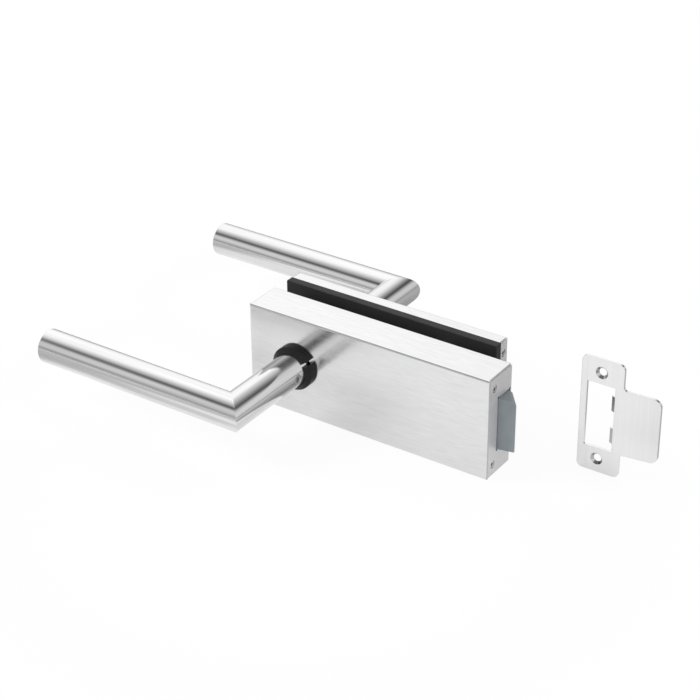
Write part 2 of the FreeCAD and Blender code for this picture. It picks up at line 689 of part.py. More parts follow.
def rounded_slot(x0, x1, z, r, y0, y1):
    slot = box(x0 + r, x1 - r, y0, y1, z - r, z + r)
    return slot.fuse([rod_y(r, y0, y1, x0 + r, z), rod_y(r, y0, y1, x1 - r, z)])


def retractor_bar():
    """Flat bar with a notch for the follower's pin, guide slots, and two tabs bent back."""
    outline = [(BAR_LEFT, BAR_BOTTOM), (BAR_RIGHT - BAR_LEG_W, BAR_BOTTOM),
               (BAR_RIGHT - BAR_LEG_W, BAR_LEG_BOTTOM), (BAR_RIGHT, BAR_LEG_BOTTOM),
               (BAR_RIGHT, BAR_TOP), (BAR_LEFT, BAR_TOP)]
    plate = prism(outline, "y", BAR_FRONT, BAR_BACK)
    corners = [e for e in edges_along(plate, Vector(0, 1, 0))]
    plate = plate.makeFillet(BAR_CORNER_R, corners)
    fork = box(BAR_RIGHT - FORK_T, BAR_RIGHT, BAR_BACK - 1, FORK_END_Y,
               BAR_LEG_BOTTOM + BAR_CORNER_R, FORK_TOP)
    r = ROD_R + FORK_SLACK
    fork = fork.cut(rod_x(r, BAR_RIGHT - FORK_T - 1, BAR_RIGHT + 1, ROD_Y, 0))
    fork = fork.cut(box(BAR_RIGHT - FORK_T - 1, BAR_RIGHT + 1, ROD_Y, FORK_END_Y + 1, -r, r))
    tab = box(TAB_X, TAB_X + TAB_T, BAR_BACK - 1, TAB_END_Y, TAB_BOTTOM, BAR_TOP)
    bar = plate.fuse([fork, tab]).removeSplitter()
    px, pz = pin_place()
    r = PIN_R + PIN_SLACK
    top = ARM_R + PIN_R + 0.4 - r
    bar = bar.cut(box(px - r, px + r, BAR_FRONT - 1, BAR_BACK + 0.3, BAR_BOTTOM - 1, top))
    bar = bar.cut(rod_y(r, BAR_FRONT - 1, BAR_BACK + 0.3, px, top))
    r = POST_R + POST_SLACK
    for x in POST_XS:
        bar = bar.cut(rounded_slot(x - r - POST_SLACK, x + r + LATCH_TRAVEL + POST_SLACK, POST_Z,
                                   r, BAR_FRONT - 1, BAR_BACK + 0.3))
    return bar


# Latch
def latch_bolt():
    """Head with a bevel on its rear side and a rising lower side, round tail and stud."""
    half = LATCH_H / 2
    bevel_x = CASE_RIGHT + LATCH_STRAIGHT
    plan = [(LATCH_REAR, LATCH_Y0), (LATCH_TIP, LATCH_Y0), (LATCH_TIP, LATCH_Y0 + LATCH_NOSE),
            (bevel_x, LATCH_Y1), (LATCH_REAR, LATCH_Y1)]
    head = prism(plan, "z", -half, half)

    def rear_side(edge):
        ends = [v.Point for v in edge.Vertexes]
        rear = all(p.y > LATCH_Y0 + LATCH_NOSE - EXACT for p in ends)
        return rear and abs(ends[0].x - ends[1].x) > EXACT

    head = head.makeChamfer(LATCH_CHAMFER, [e for e in head.Edges if rear_side(e)])
    below = [(CASE_RIGHT, -half), (LATCH_TIP, -half + LATCH_RISE), (LATCH_TIP + 1, -half - 1),
             (CASE_RIGHT, -half - 1)]
    head = head.cut(prism(below, "y", LATCH_Y0 - 1, LATCH_Y1 + 1))
    tip = [e for e in edges_along(head, Vector(0, 0, 1))
           if abs(e.Vertexes[0].Point.x - LATCH_TIP) < EXACT]
    head = head.makeFillet(LATCH_TIP_R, tip)
    nut_x1 = BAR_RIGHT - FORK_T - FIT
    tail = rod_x(ROD_R, nut_x1, LATCH_REAR + 1, ROD_Y, 0)
    stud = rod_x(STUD_R, nut_x1 - NUT_T - 0.7, nut_x1 + 1, ROD_Y, 0)
    return head.fuse([tail, stud]).removeSplitter()


def latch_tail_nut():
    x1 = BAR_RIGHT - FORK_T - FIT
    nut = hexagon(NUT_AF, (x1 - NUT_T, ROD_Y, 0), (x1, ROD_Y, 0))
    cone = Part.makeCone(NUT_AF / 2 - 0.2, NUT_AF / 2 + NUT_T, NUT_T + 0.2,
                         Vector(x1 - NUT_T, ROD_Y, 0), Vector(1, 0, 0))
    nut = nut.common(cone)
    return nut.cut(rod_x(STUD_R + THREAD_GAP, x1 - NUT_T - 1, x1 + 1, ROD_Y, 0))


def latch_spring():
    return coil(WALL_X + WALL_T + SPRING_SEAT, LATCH_REAR - SPRING_SEAT, ROD_Y, 0,
                LATCH_COIL_R, LATCH_TURNS)


def return_spring():
    return coil(LUG_X + SPRING_SEAT, TAB_X - SPRING_SEAT, RETURN_Y, RETURN_Z,
                RETURN_COIL_R, RETURN_TURNS)


# Strike plate
def strike_outline():
    """Front view of the plate and its lip as one rounded shape."""
    z0, z1 = FLOOR_Z, FLOOR_Z + STRIKE_H
    mid = (z0 + z1) / 2
    x0, x1 = STRIKE_X, STRIKE_X + STRIKE_W
    lip = x1 + STRIKE_LIP
    root, end = STRIKE_LIP_H / 2, STRIKE_LIP_END_H / 2
    y0, y1 = STRIKE_Y - PAST, STRIKE_Y + STRIKE_T + PAST
    points = [(x0, z0), (x1, z0), (x1, mid - root), (lip, mid - end), (lip, mid + end),
              (x1, mid + root), (x1, z1), (x0, z1)]
    shape = prism(points, "y", y0, y1)

    def near(x, z):
        return [e for e in edges_along(shape, Vector(0, 1, 0))
                if abs(e.Vertexes[0].Point.x - x) < EXACT
                and abs(e.Vertexes[0].Point.z - z) < EXACT]

    for spots, r in (([(x0, z0), (x1, z0), (x0, z1), (x1, z1)], STRIKE_CORNER_R),
                     ([(lip, mid - end), (lip, mid + end)], STRIKE_LIP_R),
                     ([(x1, mid - root), (x1, mid + root)], STRIKE_FILLET_R)):
        found = []
        for x, z in spots:
            found += near(x, z)
        shape = shape.makeFillet(r, found)
    return shape


def strike_plate():
    """Flat plate with a lip bent slightly back, standing on its lower edge."""
    z0 = FLOOR_Z
    mid = z0 + STRIKE_H / 2
    x1 = STRIKE_X + STRIKE_W
    y0, y1 = STRIKE_Y, STRIKE_Y + STRIKE_T
    lip = STRIKE_LIP + PAST
    bend = math.tan(math.radians(STRIKE_LIP_DEG)) * lip
    section = [(STRIKE_X - 1, y0), (x1 + 1, y0), (x1 + lip, y0 + bend), (x1 + lip, y1 + bend),
               (x1 + 1, y1), (STRIKE_X - 1, y1)]
    plate = prism(section, "z", z0 - 1, z0 + STRIKE_H + 1).common(strike_outline())
    slot_x0 = STRIKE_X + STRIKE_SLOT_X
    slot_x1 = slot_x0 + STRIKE_SLOT_W
    half = STRIKE_SLOT_H / 2
    plate = plate.cut(box(slot_x0, slot_x1, y0 - 1, y1 + 1, mid - half, mid + half))
    for sign in (1, -1):
        z = mid + sign * STRIKE_HOLE_PITCH / 2
        x = STRIKE_X + STRIKE_HOLE_X
        plate = plate.cut(rod_y(STRIKE_HOLE_R, y0 - 1, y1 + 1, x, z))
        depth = STRIKE_SINK_R - STRIKE_HOLE_R
        plate = plate.cut(Part.makeCone(STRIKE_SINK_R, STRIKE_HOLE_R, depth,
                                        Vector(x, y0, z), Vector(0, 1, 0)))
    tabs = []
    back, out, t = STRIKE_TAB_BACK, STRIKE_TAB_OUT, STRIKE_TAB_T
    for sign in (1, -1):
        z = mid + sign * STRIKE_TAB_PITCH / 2
        shape = [(slot_x1 + 0.5, y0), (slot_x1, y0), (slot_x1 - out, y0 + back),
                 (slot_x1 - out, y0 + back + t), (slot_x1, y0 + t), (slot_x1 + 0.5, y0 + t)]
        tabs.append(prism(shape, "z", z - STRIKE_TAB_H / 2, z + STRIKE_TAB_H / 2))
    return plate.fuse(tabs).removeSplitter()


PARTS = {
    "front_cover": front_cover,
    "lock_body": lock_body,
    "mechanism_plate": mechanism_plate,
    "mechanism_screws": mechanism_screws,
    "front_gasket": front_gasket,
    "front_cover_grub_screws": front_cover_grub_screws,
    "front_neck_bush": lambda: neck_bush(CASE_FRONT, -1),
    "rear_neck_bush": lambda: neck_bush(REAR_FACE, 1),
    "rear_gasket": rear_gasket,
    "rear_clamp_plate": rear_clamp_plate,
    "rear_cover": rear_cover,
    "rear_cover_grub_screws": rear_cover_grub_screws,
    "clamp_screws": clamp_screws,
    "glass_sleeves": glass_sleeves,
    "strike_plate": strike_plate,
    "latch_bolt": latch_bolt,
    "latch_tail_nut": latch_tail_nut,
    "latch_spring": latch_spring,
    "retractor_bar": retractor_bar,
    "return_spring": return_spring,
    "follower": follower,
    "spindle": spindle,
    "front_lever": lambda: lever(CASE_FRONT, -1),
    "rear_lever": lambda: lever(REAR_FACE, 1),
    "front_lever_socket": lambda: lever_socket(CASE_FRONT, -1),
    "rear_lever_socket": lambda: lever_socket(REAR_FACE, 1),
    "lever_grub_screws": lever_grub_screws,
}

os.makedirs("parts", exist_ok=True)
for name, make in PARTS.items():
    make().exportStep("parts/" + name + ".step")
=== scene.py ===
import bpy
import numpy as np
from bpy.props import FloatProperty, FloatVectorProperty, IntProperty, PointerProperty
from mathutils import Matrix, Vector


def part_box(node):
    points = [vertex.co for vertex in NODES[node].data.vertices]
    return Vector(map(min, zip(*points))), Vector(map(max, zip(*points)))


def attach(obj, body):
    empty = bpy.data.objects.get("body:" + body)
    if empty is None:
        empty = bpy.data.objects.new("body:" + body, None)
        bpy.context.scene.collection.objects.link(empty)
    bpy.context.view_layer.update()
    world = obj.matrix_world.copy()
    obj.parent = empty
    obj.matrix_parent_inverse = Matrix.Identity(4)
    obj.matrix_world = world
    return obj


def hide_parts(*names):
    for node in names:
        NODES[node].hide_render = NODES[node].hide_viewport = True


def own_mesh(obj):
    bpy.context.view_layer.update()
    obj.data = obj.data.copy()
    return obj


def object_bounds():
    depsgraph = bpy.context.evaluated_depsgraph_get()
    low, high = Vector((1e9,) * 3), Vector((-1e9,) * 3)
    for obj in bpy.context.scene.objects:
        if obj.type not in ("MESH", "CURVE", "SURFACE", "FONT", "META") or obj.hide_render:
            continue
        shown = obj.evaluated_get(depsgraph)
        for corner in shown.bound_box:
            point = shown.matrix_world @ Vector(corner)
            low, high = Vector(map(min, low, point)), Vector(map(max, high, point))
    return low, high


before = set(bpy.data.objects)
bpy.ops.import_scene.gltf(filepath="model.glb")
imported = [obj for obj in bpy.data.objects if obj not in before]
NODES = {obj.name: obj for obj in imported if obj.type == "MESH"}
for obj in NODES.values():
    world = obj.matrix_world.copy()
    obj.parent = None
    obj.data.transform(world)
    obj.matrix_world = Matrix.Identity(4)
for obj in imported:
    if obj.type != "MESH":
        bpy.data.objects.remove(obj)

bl_info = {
    "name": "Glass Door Lock",
    "version": (1, 0, 0),
    "blender": (4, 5, 0),
    "location": "3D View > Sidebar > Lock",
    "description": "Dresses the packed glass door lock and sets it in a plain studio",
    "category": "Object",
}

CAD_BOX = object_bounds()

# Places on the frame that the finishes need, in metres
FRONT_FACE_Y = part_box("front_cover")[0].y
REAR_FACE_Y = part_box("rear_cover")[1].y
TUBE_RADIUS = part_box("front_lever")[1].z
FRONT_GRIP_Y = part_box("front_lever")[0].y + TUBE_RADIUS
REAR_GRIP_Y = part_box("rear_lever")[1].y - TUBE_RADIUS

# Folded covers: depth where the bend's painted shade ends and where it starts to fade, and the
# share of that painted shade on the rest of the end flange
BEND_SHADE_OUT, BEND_SHADE_IN = 0.0015, 0.0009
FLANGE_SHADE = 0.35
END_FACING = 0.7    # least share of the normal along X on an end flange

# Brush lines: share of the finest width, and a shift so that the three don't line up
BRUSH_WIDTHS = ((1.0, 0.0), (0.31, 7.3), (0.07, 21.1))
FINE_SHARE = 0.6    # fine lines against the middle ones

# Edges: agreement of the rounded and the true normal where an edge starts and is full
EDGE_START, EDGE_FULL = 0.995, 0.86
EDGE_BREAKS = 420.0     # noise that breaks the edges up, per metre

# Countersinks, which get painted shade: share of the normal along Y, and the span about it
SINK_FACING, SINK_SPAN = 0.65, 0.3


def steel(name, default, text):
    return FloatVectorProperty(name=name, description=text, subtype="COLOR", size=3, min=0.0,
                               max=1.0, default=default)


def level(name, default, text, low=0.0, high=1.0):
    return FloatProperty(name=name, description=text, default=default, min=low, max=high)


def length(name, default, text):
    return FloatProperty(name=name, description=text, default=default, min=0.0,
                         unit="LENGTH", precision=4)


class LockFinish(bpy.types.PropertyGroup):
    """Colours and gloss of the lock's finishes."""
    cover_steel: steel("Cover steel", (0.79, 0.79, 0.795), "Brushed sheet of both covers")
    cover_gloss: level("Cover roughness", 0.15, "Roughness of the brushed sheet")
    end_gloss: level("Cover end roughness", 0.38, "Roughness of the covers' end flanges")
    end_metal: level("Cover end metallic", 0.35, "Mirrored share of the end flanges' light")
    tube_steel: steel("Tube steel", (0.83, 0.825, 0.825), "Satin tube of the levers")
    tube_gloss: level("Tube roughness", 0.10, "Roughness of the satin tube")
    strike_steel: steel("Strike steel", (0.85, 0.85, 0.85), "Sheet of the strike plate")
    strike_gloss: level("Strike roughness", 0.17, "Roughness of the strike plate")
    latch_coat: steel("Latch coat", (0.235, 0.268, 0.283), "Blue grey coat of the latch")
    bush_black: steel("Bush plastic", (0.009, 0.009, 0.010), "Moulded plastic of the bushes")
    plate_black: steel("Plate black", (0.018, 0.018, 0.019), "Black plate behind the glass")
    rubber_black: steel("Gasket rubber", (0.022, 0.022, 0.022), "Sheet rubber of the gaskets")
    casting: steel("Body casting", (0.46, 0.465, 0.475), "Cast zinc of the lock body")
    plating: steel("Zinc plating", (0.68, 0.70, 0.74), "Plated steel inside the lock")
    screw_steel: steel("Screw steel", (0.74, 0.74, 0.745), "Steel of the grub screws")
    wire: steel("Spring wire", (0.55, 0.55, 0.56), "Drawn wire of the springs")
    nylon: steel("Sleeve nylon", (0.78, 0.77, 0.74), "White nylon of the glass sleeves")
    grain_height: length("Grain height", 0.000004, "Depth of the brush lines")
    # edge_radius also sets the width of the painted highlight and shade along the edges
    edge_radius: length("Edge radius", 0.00022, "How far the sharp edges look broken")


class LockSprings(bpy.types.PropertyGroup):
    """Wound springs inside the lock body."""
    wire_radius: length("Wire radius", 0.00045, "Half the wire's thickness")
    latch_turns: IntProperty(name="Latch turns", description="Turns of the latch spring",
                             default=9, min=2)
    return_turns: IntProperty(name="Return turns", description="Turns of the return spring",
                              default=7, min=2)
    end_turns: level("Closed turns", 0.9, "Turns lying flat at each end", 0.0, 2.0)


class LockStudio(bpy.types.PropertyGroup):
    """Floor, light and camera."""
    floor_side: length("Floor side", 6.0, "Side of the square floor")
    # The floor's colour is painted light: floor_colour in the pools, floor_edge outside them
    floor_colour: steel("Floor", (0.90, 0.90, 0.90), "Colour of the floor near the lock")
    floor_edge: steel("Floor edge", (0.46, 0.46, 0.46), "Colour of the floor further out")
    floor_white: level("Floor white", 0.93, "Share of plain white in the seen floor")
    mirror_white: level("Mirrored white", 0.56, "The same share in the mirrored floor")
    window: level("Soft lamp", 1.28, "Level of the large soft lamps", 0.0, 4.0)
    key_power: FloatProperty(name="Key power", description="Panel on the left", default=18.0,
                             min=0.0, unit="POWER")
    fill_power: FloatProperty(name="Fill power", description="Panel beside the camera",
                              default=4.0, min=0.0, unit="POWER")
    azimuth: level("Azimuth", 34.246, "Camera angle round the lock in degrees", -180.0, 180.0)
    elevation: level("Elevation", 29.815, "Camera angle above the floor in degrees", -90.0, 90.0)
    roll: level("Roll", -0.377, "Camera turn about its own axis in degrees", -180.0, 180.0)
    distance: length("Distance", 1.132993, "Camera to the spindle axis")
    across: length("Across", -0.0143458, "Camera's shift to the right")
    along: length("Up", -0.0028925, "Camera's shift upwards")
    lens: level("Lens", 102.316, "Focal length in millimetres", 1.0, 500.0)


# Node trees
def put(tree, kind, links=None, **settings):
    """Adds a node; links maps each socket to a value or to another node's output."""
    made = tree.nodes.new(kind)
    for name, value in settings.items():
        setattr(made, name, value)
    for socket, value in (links or {}).items():
        if isinstance(value, bpy.types.NodeSocket):
            tree.links.new(value, made.inputs[socket])
        else:
            made.inputs[socket].default_value = value
    return made


def maths(tree, operation, *values):
    """A Math node's output; a value may be a number or an output."""
    return put(tree, "ShaderNodeMath", dict(enumerate(values)), operation=operation).outputs[0]


def spread(tree, value, low, high, new_low, new_high, kind="LINEAR"):
    """A value's range mapped to another one, held at both ends."""
    links = {"Value": value, "From Min": low, "From Max": high, "To Min": new_low,
             "To Max": new_high}
    return put(tree, "ShaderNodeMapRange", links, interpolation_type=kind).outputs["Result"]


def tint(tree, factor, a, b):
    """A colour between a and b."""
    made = put(tree, "ShaderNodeMix", data_type="RGBA")
    for socket, value in ((0, factor), (6, a), (7, b)):
        if isinstance(value, bpy.types.NodeSocket):
            tree.links.new(value, made.inputs[socket])
        elif socket == 0:
            made.inputs[0].default_value = value
        else:
            made.inputs[socket].default_value = (*value, 1.0)
    return made.outputs[2]


def group(name, inputs, outputs):
    """An empty node group with named sockets; gives its tree, inputs and output node."""
    tree = bpy.data.node_groups.new(name, "ShaderNodeTree")
    for label, kind, default in inputs:
        made = tree.interface.new_socket(label, in_out="INPUT", socket_type=kind)
        if default is not None:
            made.default_value = default
    for label, kind in outputs:
        tree.interface.new_socket(label, in_out="OUTPUT", socket_type=kind)
    return tree, tree.nodes.new("NodeGroupInput").outputs, tree.nodes.new("NodeGroupOutput")


def once(make):
    """The group that make builds, made only the first time."""
    def found():
        name = make.__name__
        return bpy.data.node_groups.get(name) or make(name)
    return found


VALUE, VECTOR, COLOUR = "NodeSocketFloat", "NodeSocketVector", "NodeSocketColor"


@once
def brush_lines(name):
    """Fine lines along the vector's X, or its Y where Turn is 1, in three widths."""
    tree, given, out = group(name, [("Vector", VECTOR, None), ("Turn", VALUE, 0.0),
                                    ("Across", VALUE, 900.0), ("Along", VALUE, 14.0)],
                             [("Streak", VALUE), ("Height", VALUE), ("Patch", VALUE)])
    split = put(tree, "ShaderNodeSeparateXYZ", {0: given["Vector"]}).outputs
    change = maths(tree, "MULTIPLY", given["Turn"],
                   maths(tree, "SUBTRACT", split["Y"], split["X"]))
    line = maths(tree, "ADD", split["X"], change)
    side = maths(tree, "SUBTRACT", split["Y"], change)
    widths = []
    for share, shift in BRUSH_WIDTHS:
        across = maths(tree, "MULTIPLY", given["Across"], share)
        along = maths(tree, "MULTIPLY", given["Along"], share)
        place = put(tree, "ShaderNodeCombineXYZ", {
            0: maths(tree, "MULTIPLY_ADD", line, along, shift),
            1: maths(tree, "MULTIPLY", side, across),
            2: maths(tree, "MULTIPLY", split["Z"], across)}).outputs[0]
        widths.append(put(tree, "ShaderNodeTexNoise", {"Vector": place, "Scale": 1.0,
                                                       "Detail": 2.0, "Roughness": 0.6}
                          ).outputs["Fac"])
    fine, middle, broad = widths
    both = maths(tree, "ADD", maths(tree, "MULTIPLY", fine, FINE_SHARE),
                 maths(tree, "MULTIPLY", middle, 1.0 - FINE_SHARE))
    tree.links.new(spread(tree, both, 0.3, 0.7, 0.0, 1.0), out.inputs["Streak"])
    tree.links.new(both, out.inputs["Height"])
    tree.links.new(spread(tree, broad, 0.3, 0.7, 0.0, 1.0), out.inputs["Patch"])
    return tree


@once
def rounded_edges_painted_light(name):
    """Normals rounded at the edges, and a mask that is 1 on an edge, broken up by noise, which
    carries the painted highlight, and on the covers the painted shade, along the edges.
    """
    tree, given, out = group(name, [("Vector", VECTOR, None), ("Radius", VALUE, 0.0002)],
                             [("Normal", VECTOR), ("Edge", VALUE)])
    bevel = put(tree, "ShaderNodeBevel", {"Radius": given["Radius"]}, samples=6).outputs[0]
    true = put(tree, "ShaderNodeNewGeometry").outputs["Normal"]
    dot = put(tree, "ShaderNodeVectorMath", {0: bevel, 1: true},
              operation="DOT_PRODUCT").outputs["Value"]
    noise = put(tree, "ShaderNodeTexNoise", {"Vector": given["Vector"],
                                             "Scale": EDGE_BREAKS, "Detail": 3.0}
                ).outputs["Fac"]
    bent = spread(tree, dot, EDGE_START, EDGE_FULL, 0.0, 1.0)
    mask = maths(tree, "MULTIPLY", bent, spread(tree, noise, 0.35, 0.6, 0.45, 1.0))
    tree.links.new(bevel, out.inputs["Normal"])
    tree.links.new(mask, out.inputs["Edge"])
    return tree


@once
def handled_haze(name):
    """Slow cloudy change over the surface, for roughness and a little colour."""
    tree, given, out = group(name, [("Vector", VECTOR, None), ("Scale", VALUE, 30.0)],
                             [("Haze", VALUE)])
    noise = put(tree, "ShaderNodeTexNoise", {"Vector": given["Vector"], "Scale": given["Scale"],
                                             "Detail": 4.0, "Roughness": 0.55}).outputs["Fac"]
    tree.links.new(spread(tree, noise, 0.3, 0.7, 0.0, 1.0, "SMOOTHSTEP"), out.inputs["Haze"])
    return tree


@once
def grained_skin(name):
    """Pebbled skin of a casting or moulding: small rounded cells over fine noise."""
    tree, given, out = group(name, [("Vector", VECTOR, None), ("Scale", VALUE, 1500.0)],
                             [("Height", VALUE), ("Speck", VALUE)])
    cells = put(tree, "ShaderNodeTexVoronoi", {"Vector": given["Vector"],
                                               "Scale": given["Scale"]},
                feature="SMOOTH_F1").outputs["Distance"]
    noise = put(tree, "ShaderNodeTexNoise", {"Vector": given["Vector"],
                                             "Scale": given["Scale"], "Detail": 3.0}
                ).outputs["Fac"]
    height = maths(tree, "ADD", maths(tree, "MULTIPLY", cells, 0.6),
                   maths(tree, "MULTIPLY", noise, 0.5))
    tree.links.new(height, out.inputs["Height"])
    tree.links.new(spread(tree, noise, 0.35, 0.65, 0.0, 1.0), out.inputs["Speck"])
    return tree


class Paint:
    """A new material with its shader, and the place and normal that its patterns read."""

    def __init__(self, name, sockets):
        self.material = bpy.data.materials.new(name)
        self.material.use_nodes = True
        self.tree = self.material.node_tree
        self.tree.nodes.clear()
        output = self.tree.nodes.new("ShaderNodeOutputMaterial")
        self.shader = put(self.tree, "ShaderNodeBsdfPrincipled", sockets)
        self.tree.links.new(self.shader.outputs[0], output.inputs["Surface"])
        place = self.tree.nodes.new("ShaderNodeTexCoord")
        self.place = place.outputs["Object"]
        self.normal = place.outputs["Normal"]

    def use(self, made, links):
        """Outputs of a shared effect with these values."""
        node = put(self.tree, "ShaderNodeGroup")
        node.node_tree = made()
        for socket, value in links.items():
            if isinstance(value, bpy.types.NodeSocket):
                self.tree.links.new(value, node.inputs[socket])
            else:
                node.inputs[socket].default_value = value
        return node.outputs

    def feed(self, socket, value):
        self.tree.links.new(value, self.shader.inputs[socket])

    def bump(self, height, distance, normal, strength=1.0):
        links = {"Height": height, "Distance": distance, "Strength": strength,
                 "Normal": normal}
        self.feed("Normal", put(self.tree, "ShaderNodeBump", links).outputs[0])


def lighter(colour, share):
    """The colour moved a share of the way to white, or to black for a negative share."""
    goal = 1.0 if share > 0 else 0.0
    return tuple(c + (goal - c) * abs(share) for c in colour)


def brushed_metal(name, colour, gloss, finish, masks, across=900.0, along=14.0, streak=0.05,
                  edge=0.35, turned_gloss=None, turned_metal=1.0, radius=1.0):
    """Brushed steel. masks gives, from its Paint, the place that the lines follow, a mask
    that turns them and sets turned_gloss and turned_metal, and a mask of painted shade that
    darkens the sheet. A mask may be None.

    edge is how much lighter, as a painted highlight, or darker below 0, as painted shade,
    the edges are. radius widens the edges.
    """
    paint = Paint(name, {"Metallic": 1.0})
    tree = paint.tree
    place, turn, painted_shade = masks(paint)
    links = {"Vector": place, "Across": across, "Along": along}
    if turn is not None:
        links["Turn"] = turn
    lines = paint.use(brush_lines, links)
    edges = paint.use(rounded_edges_painted_light, {"Vector": paint.place,
                                     "Radius": finish.edge_radius * radius})
    haze = paint.use(handled_haze, {"Vector": paint.place, "Scale": 38.0})["Haze"]
    grain = tint(tree, lines["Streak"], lighter(colour, -streak), lighter(colour, streak))
    patched = tint(tree, maths(tree, "MULTIPLY", lines["Patch"], 0.4), grain,
                   lighter(colour, -streak * 0.5))
    # Painted highlight along the edges, or painted shade there where edge is below 0
    base = tint(tree, maths(tree, "MULTIPLY", edges["Edge"], 0.8), patched,
                lighter(colour, edge))
    # Painted shade: the sheet is darkened where this mask is on
    if painted_shade is not None:
        base = tint(tree, painted_shade, base, lighter(colour, -0.4))
    paint.feed("Base Color", base)
    rough = spread(tree, lines["Streak"], 0.0, 1.0, gloss - 0.04, gloss + 0.04)
    if turned_gloss is not None:
        rough = maths(tree, "MULTIPLY_ADD", turn, turned_gloss - gloss, rough)
        paint.feed("Metallic", spread(tree, turn, 0.0, 1.0, 1.0, turned_metal))
    paint.feed("Roughness", maths(tree, "ADD", rough, spread(tree, haze, 0.0, 1.0, -0.02,
                                                             0.03)))
    paint.bump(lines["Height"], finish.grain_height, edges["Normal"])
    return paint.material


def sheet_grain(paint):
    """Lines along X, and front to back on the end flanges, with painted shade on them, most by
    the bends.
    """
    tree = paint.tree
    x = put(tree, "ShaderNodeSeparateXYZ", {0: paint.normal}).outputs["X"]
    turn = maths(tree, "GREATER_THAN", maths(tree, "ABSOLUTE", x), END_FACING)
    y = put(tree, "ShaderNodeSeparateXYZ", {0: paint.place}).outputs["Y"]
    front = spread(tree, y, FRONT_FACE_Y + BEND_SHADE_IN, FRONT_FACE_Y + BEND_SHADE_OUT, 1.0, 0.0)
    rear = spread(tree, y, REAR_FACE_Y - BEND_SHADE_IN, REAR_FACE_Y - BEND_SHADE_OUT, 1.0, 0.0)
    shade = maths(tree, "MAXIMUM", maths(tree, "MAXIMUM", front, rear), FLANGE_SHADE)
    return paint.place, turn, maths(tree, "MULTIPLY", turn, shade)


def tube_grain(grip_y, out):
    """Lines along the grip, and along the neck past the mitre plane y = grip_y + out * x."""
    def masks(paint):
        tree = paint.tree
        split = put(tree, "ShaderNodeSeparateXYZ", {0: paint.place}).outputs
        plane = maths(tree, "MULTIPLY_ADD", split["X"], out, grip_y)
        past = maths(tree, "MULTIPLY", maths(tree, "SUBTRACT", split["Y"], plane), -out)
        return paint.place, maths(tree, "GREATER_THAN", past, 0.0), None
    return masks


def upright_grain(paint):
    """Lines along Z, with painted shade in the countersinks."""
    tree = paint.tree
    split = put(tree, "ShaderNodeSeparateXYZ", {0: paint.place}).outputs
    place = put(tree, "ShaderNodeCombineXYZ", {0: split["Z"], 1: split["Y"],
                                               2: split["X"]}).outputs[0]
    y = put(tree, "ShaderNodeSeparateXYZ", {0: paint.normal}).outputs["Y"]
    painted_sink_shade = maths(tree, "COMPARE", maths(tree, "ABSOLUTE", y), SINK_FACING, SINK_SPAN)
    return place, None, painted_sink_shade


def moulded(name, colour, gloss, finish, scale=1400.0, height=0.00001, specular=0.4,
            rim=0.05):
    """Moulded plastic or rubber with a fine grained skin and rounded edges, with a painted
    highlight along them that rim sets.
    """
    paint = Paint(name, {"Metallic": 0.0, "Specular IOR Level": specular})
    tree = paint.tree
    skin = paint.use(grained_skin, {"Vector": paint.place, "Scale": scale})
    edges = paint.use(rounded_edges_painted_light, {"Vector": paint.place, "Radius": finish.edge_radius})
    haze = paint.use(handled_haze, {"Vector": paint.place, "Scale": 60.0})["Haze"]
    base = tint(tree, skin["Speck"], lighter(colour, -0.12), lighter(colour, 0.01))
    # Painted highlight along the edges, rim of the way to white
    paint.feed("Base Color", tint(tree, maths(tree, "MULTIPLY", edges["Edge"], 0.5), base,
                                  lighter(colour, rim)))
    paint.feed("Roughness", spread(tree, haze, 0.0, 1.0, gloss - 0.05, gloss + 0.06))
    paint.bump(skin["Height"], height, edges["Normal"], 0.6)
    return paint.material


def coated_latch(name, colour, gloss, finish):
    """Latch steel under a smooth blue grey coat, with a painted highlight along its edges."""
    paint = Paint(name, {"Metallic": 0.0, "Specular IOR Level": 0.45, "Coat Weight": 0.15,
                         "Coat Roughness": 0.3})
    tree = paint.tree
    lines = paint.use(brush_lines, {"Vector": paint.place, "Across": 500.0, "Along": 60.0})
    edges = paint.use(rounded_edges_painted_light, {"Vector": paint.place,
                                     "Radius": finish.edge_radius * 1.6})
    haze = paint.use(handled_haze, {"Vector": paint.place, "Scale": 90.0})["Haze"]
    base = tint(tree, haze, lighter(colour, -0.06), lighter(colour, 0.03))
    # Painted highlight along the edges
    paint.feed("Base Color", tint(tree, maths(tree, "MULTIPLY", edges["Edge"], 0.55), base,
                                  lighter(colour, 0.4)))
    paint.feed("Roughness", spread(tree, lines["Streak"], 0.0, 1.0, gloss - 0.04,
                                   gloss + 0.05))
    paint.bump(lines["Height"], finish.grain_height, edges["Normal"], 0.5)
    return paint.material


def cast_metal(name, colour, finish):
    """Die cast zinc: dull, pebbled and unevenly grey."""
    paint = Paint(name, {"Metallic": 0.85})
    tree = paint.tree
    skin = paint.use(grained_skin, {"Vector": paint.place, "Scale": 900.0})
    edges = paint.use(rounded_edges_painted_light, {"Vector": paint.place,
                                     "Radius": finish.edge_radius * 1.5})
    haze = paint.use(handled_haze, {"Vector": paint.place, "Scale": 55.0})["Haze"]
    base = tint(tree, haze, lighter(colour, -0.15), lighter(colour, 0.08))
    # Painted highlight along the edges
    paint.feed("Base Color", tint(tree, edges["Edge"], base, lighter(colour, 0.3)))
    paint.feed("Roughness", spread(tree, skin["Speck"], 0.0, 1.0, 0.45, 0.62))
    paint.bump(skin["Height"], 0.00004, edges["Normal"])
    return paint.material


